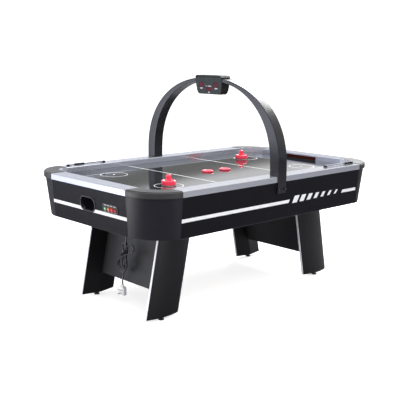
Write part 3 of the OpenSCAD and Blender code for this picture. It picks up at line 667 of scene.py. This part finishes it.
# ------------------------------------------------------------------ power lead
# y, z and distance behind x = -0.704, in millimetres, from the cabinet down to the plug
ROUTE = [
    (-8.0, 514.0, 0.0), (-8.0, 502.1, 0.0), (-8.0, 490.3, 0.0), (-8.0, 478.4, -0.1), (-8.0, 466.6, -0.5), (-8.1, 454.7, -1.2),
    (-8.4, 442.9, -2.2), (-8.8, 431.1, -3.3), (-9.3, 419.3, -4.6), (-9.7, 407.5, -5.8), (-9.8, 395.7, -6.8), (-9.7, 383.9, -7.6),
    (-9.2, 372.1, -8.1), (-8.4, 360.2, -8.3), (-7.5, 348.4, -8.4), (-6.7, 336.6, -8.4), (-6.4, 324.7, -8.3), (-7.1, 312.9, -8.3),
    (-8.8, 301.2, -8.3), (-11.2, 289.6, -8.2), (-13.9, 278.0, -8.3), (-15.9, 266.3, -8.4), (-16.4, 254.5, -8.7), (-14.5, 242.8, -9.1),
    (-9.6, 232.1, -9.7), (-1.6, 223.5, -10.6), (8.7, 217.8, -11.5), (20.3, 215.5, -12.4), (32.0, 216.6, -13.3), (43.0, 221.0, -14.1),
    (52.2, 228.3, -14.8), (58.8, 238.0, -15.6), (62.0, 249.4, -16.6), (61.3, 261.1, -17.7), (57.0, 272.0, -18.7), (50.2, 281.7, -19.3),
    (42.0, 290.3, -19.0), (33.0, 297.9, -18.2), (23.5, 305.0, -17.2), (13.6, 311.5, -16.6), (3.4, 317.6, -16.4), (-7.1, 323.1, -16.5),
    (-17.8, 328.1, -16.5), (-28.8, 332.5, -16.5), (-40.0, 336.5, -16.4), (-51.3, 340.2, -16.3), (-62.5, 344.1, -16.0), (-73.3, 348.9, -15.8),
    (-83.1, 355.4, -15.5), (-90.9, 364.4, -15.2), (-94.7, 375.5, -15.1), (-92.9, 387.0, -15.2), (-85.5, 396.2, -15.4), (-74.8, 400.9, -15.8),
    (-63.0, 400.7, -16.2), (-52.0, 396.5, -16.4), (-42.4, 389.6, -16.6), (-34.0, 381.2, -16.6), (-26.2, 372.3, -16.6), (-18.6, 363.2, -16.6),
    (-10.8, 354.3, -16.6), (-2.7, 345.6, -16.7), (5.6, 337.1, -16.8), (14.0, 328.8, -16.9), (22.5, 320.5, -16.6), (30.8, 312.1, -15.8),
    (38.7, 303.3, -14.4), (45.5, 293.8, -12.8), (50.8, 283.2, -11.5), (53.9, 271.8, -10.9), (54.3, 260.0, -10.4), (51.8, 248.5, -9.7),
    (46.0, 238.3, -8.6), (37.3, 230.5, -7.1), (26.4, 226.3, -5.4), (14.7, 226.4, -3.7), (4.1, 231.2, -2.3), (-3.9, 239.7, -1.2),
    (-8.6, 250.6, -0.5), (-10.4, 262.2, -0.1), (-10.0, 274.1, 0.1), (-8.0, 285.8, 0.0), (-5.2, 297.3, -0.0), (-2.4, 308.8, -0.0),
    (-1.6, 320.6, 0.1), (-3.6, 332.2, 0.6), (-7.9, 343.3, 1.2), (-12.3, 354.3, 1.8), (-14.9, 365.8, 2.3), (-13.5, 377.5, 2.5),
    (-6.7, 387.0, 2.3), (3.9, 392.0, 1.9), (15.6, 391.7, 1.3), (25.8, 385.9, 0.8), (31.7, 375.8, 0.4), (32.6, 364.1, 0.1),
    (29.7, 352.6, -0.0), (24.7, 341.8, -0.0), (19.0, 331.5, -0.1), (13.3, 321.1, -0.1), (8.2, 310.4, -0.1), (4.0, 299.3, -0.1),
    (0.9, 287.8, 0.0), (-0.7, 276.1, 0.2), (0.0, 264.3, 0.7), (3.8, 253.2, 1.5), (11.2, 244.1, 2.6), (21.8, 239.2, 4.1),
    (33.3, 240.4, 5.7), (42.5, 247.4, 7.0), (47.4, 258.1, 7.8), (47.9, 269.8, 8.3), (44.3, 281.1, 8.4), (38.0, 291.1, 8.4),
    (30.4, 300.2, 8.3), (22.7, 309.2, 8.3), (17.0, 319.6, 8.2), (18.8, 330.9, 8.3), (26.2, 340.2, 8.6), (34.4, 348.7, 8.9),
    (41.7, 358.0, 9.4), (45.9, 369.0, 10.0), (44.4, 380.6, 10.5), (37.1, 389.8, 10.9), (26.5, 394.8, 11.0), (14.8, 394.6, 10.9),
    (4.4, 389.2, 10.6), (-2.8, 379.8, 10.2), (-6.1, 368.5, 9.8), (-6.5, 356.7, 9.3), (-5.0, 345.0, 9.0), (-2.3, 333.4, 8.6),
    (1.1, 322.1, 8.5), (5.0, 310.9, 8.5), (9.4, 299.8, 8.8), (14.0, 288.9, 9.4), (18.7, 278.1, 10.4), (23.3, 267.2, 11.6),
    (27.4, 256.2, 12.9), (30.8, 244.9, 13.8), (33.4, 233.3, 14.0), (35.1, 221.6, 13.4), (36.1, 209.9, 11.8), (36.5, 198.2, 9.5),
    (36.5, 186.7, 6.9), (36.3, 175.1, 4.3), (36.1, 163.5, 2.1), (36.0, 151.7, 0.7), (36.0, 139.9, 0.1), (36.0, 128.0, 0.0),
]
LEAD_D = 0.008
line = [Vector(((-704 + d) / 1000, y / 1000, z / 1000)) for y, z, d in ROUTE]

def fine(pts, k=3):
    out = []
    for i in range(len(pts) - 1):
        p0, p1, p2, p3 = pts[max(i - 1, 0)], pts[i], pts[i + 1], pts[min(i + 2, len(pts) - 1)]
        for j in range(k):
            t = j / k
            out.append(0.5 * ((2 * p1) + (p2 - p0) * t + (2 * p0 - 5 * p1 + 4 * p2 - p3) * t * t + (3 * p1 - p0 - 3 * p2 + p3) * t ** 3))
    return out + [pts[-1]]

dense = fine(line)
cu = bpy.data.curves.new("power_lead", "CURVE")
cu.dimensions = "3D"
cu.bevel_depth = LEAD_D / 2
cu.bevel_resolution = 4
cu.use_fill_caps = True
sp_ = cu.splines.new("POLY")
sp_.points.add(len(dense) - 1)
for q, v in zip(sp_.points, dense):
    q.co = (*v, 1)
sp_.use_smooth = True
lead = bpy.data.objects.new("power_lead", cu)
SC.collection.objects.link(lead)
cu.materials.append(M["cord"].m)
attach(lead, "table")
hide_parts("cord_drop", "cord_hank", "cord_tail")
LENGTH = sum((b - a).length for a, b in zip(dense, dense[1:]))

def hull2(pts):
    pts = sorted(set((round(a, 6), round(b, 6)) for a, b in pts))
    def half(seq):
        h = []
        for q in seq:
            while len(h) > 1 and (h[-1][0] - h[-2][0]) * (q[1] - h[-2][1]) - (h[-1][1] - h[-2][1]) * (q[0] - h[-2][0]) <= 0:
                h.pop()
            h.append(q)
        return h[:-1]
    return half(pts) + half(pts[::-1])

# cable tie: a band round every strand that crosses its height, with its head
TZ = 0.3245
around = []
for zz in (TZ - 0.0025, TZ, TZ + 0.0025):
    for a, b in zip(dense, dense[1:]):
        if (a.z - zz) * (b.z - zz) <= 0 and abs(a.z - b.z) > 1e-9:
            c = a.lerp(b, (zz - a.z) / (b.z - a.z))
            slope = (b - a).normalized()
            lean = max(0.35, abs(slope.z))
            for k in range(24):
                t = 2 * math.pi * k / 24
                around.append((c.x + 0.0042 * math.cos(t), c.y + 0.0042 * math.sin(t) / lean))
ring_in = hull2(around)
def offset(ring, d):
    n = len(ring)
    out = []
    for i in range(n):
        (ax_, ay_), (bx_, by_), (cx_, cy_) = ring[i - 1], ring[i], ring[(i + 1) % n]
        t = Vector((cx_ - ax_, cy_ - ay_)).normalized()
        out.append((bx_ + t.y * d, by_ - t.x * d))
    return out
band = slab(offset(ring_in, 0.0013), TZ - 0.0024, TZ + 0.0024, ring_in)
k = min(range(len(ring_in)), key=lambda i: ring_in[i][0])
hx, hy = ring_in[k]
head = slab([(hx - 0.0052, hy - 0.0035), (hx - 0.0002, hy - 0.0035), (hx - 0.0002, hy + 0.0035), (hx - 0.0052, hy + 0.0035)], TZ - 0.0034, TZ + 0.0034)
tail = slab([(hx - 0.0036, hy - 0.016), (hx - 0.0024, hy - 0.016), (hx - 0.0024, hy - 0.0030), (hx - 0.0036, hy - 0.0030)], TZ - 0.0018, TZ + 0.0018)
mesh_piece("lead_tie", *join([band, head, tail]), "tie", "table", "black_plastic")

# plug: ribs on its sleeve, an edge seam and the fuse cover's outline
px, py = -0.704, 0.036
def lathe(rings, n=32):
    v = [(px + r * math.cos(2 * math.pi * k / n), py + r * math.sin(2 * math.pi * k / n), z) for r, z in rings for k in range(n)]
    m_ = len(rings)
    f = [[i * n + k, i * n + (k + 1) % n, ((i + 1) % m_) * n + (k + 1) % n, ((i + 1) % m_) * n + k] for i in range(m_) for k in range(n)]
    return v, f
ribs = []
for k in range(4):
    z = 0.1195 + 0.0032 * k
    r = 0.010 - 0.004 * (z - 0.117) / 0.015
    ribs.append(lathe([(r - 0.0006, z - 0.0008), (r + 0.0012, z - 0.0006), (r + 0.0012, z + 0.0006), (r - 0.0006, z + 0.0008)]))
def plug_face(u, v, h):
    return (px - 0.011 - h, py - u, 0.090 + v)
def plug_back(u, v, h):
    return (px + 0.011 + h, py + u, 0.090 + v)
ribs.append(placed(slab(rrect(0, -0.0085, 0.012, 0.019, 0.002), 0.0, 0.0006, rrect(0, -0.0085, 0.0105, 0.0175, 0.0014)), plug_face))
ribs.append(placed(slab(rrect(0, 0.0, 0.040, 0.046, 0.011), 0.0, 0.0007, rrect(0, 0.0, 0.0375, 0.0435, 0.010)), plug_back))
ribs.append(placed(slab(rrect(0, 0.0, 0.044, 0.050, 0.012), 0.0, 0.0007, rrect(0, 0.0, 0.0415, 0.0475, 0.011)), plug_face))
plug_bits = mesh_piece("plug_ribs", *join(ribs), "white", "table", "white_plastic")
screw = slab(circle(0, 0.0165, 0.0026, 20), 0.0, 0.0006)
plug_screw = mesh_piece("plug_screw", *placed(screw, plug_back), "dark_steel", "table", "dark_steel")

# ------------------------------------------------------------------ stage and light
bpy.ops.mesh.primitive_plane_add(size=120, location=(0, 0, 0))
floor = bpy.context.object
floor.name = "floor"
fm = bpy.data.materials.new("floor_white")
fm.use_nodes = True
ft = fm.node_tree
ft.nodes.clear()
def fn(kind):
    return ft.nodes.new(kind)
out, lp, mx, ad, em, d1, d2 = fn("ShaderNodeOutputMaterial"), fn("ShaderNodeLightPath"), fn("ShaderNodeMixShader"), fn("ShaderNodeAddShader"), fn("ShaderNodeEmission"), fn("ShaderNodeBsdfDiffuse"), fn("ShaderNodeBsdfDiffuse")
d1.inputs["Color"].default_value = (0.22, 0.22, 0.235, 1)
d2.inputs["Color"].default_value = (0.80, 0.80, 0.80, 1)
em.inputs["Color"].default_value = (1, 1, 1, 1)
em.inputs["Strength"].default_value = 0.62
ft.links.new(em.outputs[0], ad.inputs[0])
ft.links.new(d2.outputs[0], ad.inputs[1])
ft.links.new(lp.outputs["Is Camera Ray"], mx.inputs[0])
ft.links.new(d1.outputs[0], mx.inputs[1])
ft.links.new(ad.outputs[0], mx.inputs[2])
ft.links.new(mx.outputs[0], out.inputs["Surface"])
floor.data.materials.append(fm)

w = bpy.data.worlds.new("world")
SC.world = w
w.use_nodes = True
wt = w.node_tree
wt.nodes.clear()
def wn(kind, **props):
    n = wt.nodes.new(kind)
    for k, v in props.items():
        setattr(n, k, v)
    return n
def wmath(op, a, b=None, c=None, clamp=False):
    n = wn("ShaderNodeMath", operation=op, use_clamp=clamp)
    for i, v in enumerate((a, b, c)):
        if v is None:
            continue
        if isinstance(v, (int, float)):
            n.inputs[i].default_value = v
        else:
            wt.links.new(v, n.inputs[i])
    return n.outputs[0]
def wramp(fac, lo, hi, a, b):
    n = wn("ShaderNodeMapRange", interpolation_type="SMOOTHSTEP")
    for i, v in zip(("From Min", "From Max", "To Min", "To Max"), (lo, hi, a, b)):
        n.inputs[i].default_value = v
    wt.links.new(fac, n.inputs["Value"])
    return n.outputs["Result"]
def wmix(fac, a, b):
    n = wn("ShaderNodeMix", data_type="RGBA")
    wt.links.new(fac, n.inputs[0])
    for i, v in ((6, a), (7, b)):
        if isinstance(v, tuple):
            n.inputs[i].default_value = (*v, 1)
        else:
            wt.links.new(v, n.inputs[i])
    return n.outputs[2]
tc = wn("ShaderNodeTexCoord")
sp = wn("ShaderNodeSeparateXYZ")
wt.links.new(tc.outputs["Generated"], sp.inputs[0])
X, Y, Z = sp.outputs
# the studio's back wall: its lower edge rises towards the left
edge = wmath("MINIMUM", wmath("MAXIMUM", wmath("MULTIPLY_ADD", X, -0.267, 0.340), 0.02), 0.20)
over = wmath("SUBTRACT", Z, edge)
low = wmix(wramp(over, -0.040, -0.022, 0, 1), (0.86, 0.93, 1.12), (0.17, 0.17, 0.155))
sky = wmix(wramp(over, -0.006, 0.006, 0, 1), low, (1.02, 1.02, 1.03))
# brighter towards the back wall than behind the camera
toward = wmath("ADD", wmath("MULTIPLY", X, 0.643), wmath("MULTIPLY", Y, 0.766))
level = wmath("MAXIMUM", wramp(toward, -0.25, 0.60, 0.62, 1.0), wramp(Z, 0.45, 0.95, 0.0, 1.0))
grade = wn("ShaderNodeVectorMath", operation="SCALE")
wt.links.new(sky, grade.inputs[0])
wt.links.new(level, grade.inputs["Scale"])
bg = wn("ShaderNodeBackground")
wt.links.new(grade.outputs[0], bg.inputs["Color"])
bg.inputs["Strength"].default_value = 1.0
white = wn("ShaderNodeBackground")
white.inputs["Color"].default_value = (1, 1, 1, 1)
white.inputs["Strength"].default_value = 1.05
wl, wm, wo = wn("ShaderNodeLightPath"), wn("ShaderNodeMixShader"), wn("ShaderNodeOutputWorld")
wt.links.new(wl.outputs["Is Camera Ray"], wm.inputs[0])
wt.links.new(bg.outputs[0], wm.inputs[1])
wt.links.new(white.outputs[0], wm.inputs[2])
wt.links.new(wm.outputs[0], wo.inputs["Surface"])

def area(name, az, el, dist, size, radiance, aim=(0, 0, 0.8), tint=(1, 1, 1)):
    """a soft box seen from the aim point at that azimuth (from +Y towards +X) and height angle."""
    a, e = math.radians(az), math.radians(el)
    loc = Vector(aim) + dist * Vector((math.sin(a) * math.cos(e), math.cos(a) * math.cos(e), math.sin(e)))
    l = bpy.data.lights.new(name, "AREA")
    l.shape = "RECTANGLE"
    l.size, l.size_y = size
    l.energy = radiance * math.pi * size[0] * size[1]
    l.color = tint
    o = bpy.data.objects.new(name, l)
    SC.collection.objects.link(o)
    o.location = loc
    o.rotation_euler = (Vector(aim) - loc).to_track_quat("-Z", "Y").to_euler()
    o.visible_camera = False
    return o

back_box = area("back_box", 74, 33, 5.0, (3.8, 2.0), 14.0, (0, 0, 1.1))
keep_off = bpy.data.collections.new("no_back_box")
for n in ("playfield", "rail_near", "rail_far", "rail_left", "rail_right"):
    keep_off.objects.link(N[n])
for q in keep_off.collection_objects:
    q.light_linking.link_state = "EXCLUDE"
back_box.light_linking.receiver_collection = keep_off
area("left_box", 316, 0, 3.2, (3.0, 1.3), 2.5, (-0.98, 0.0, 0.66), (0.91, 0.93, 1.08))
area("floor_box", 290, 3, 1.9, (1.1, 0.5), 9.0, (-0.72, 0.0, 0.16))
area("front_box", 205, 36, 5.0, (4.0, 3.0), 4.9).visible_glossy = False
area("low_box", 172, -2, 2.6, (1.0, 0.5), 2.4, (-0.6, -0.32, 0.38))
area("top_box", 20, 80, 4.0, (4.0, 3.0), 2.6)
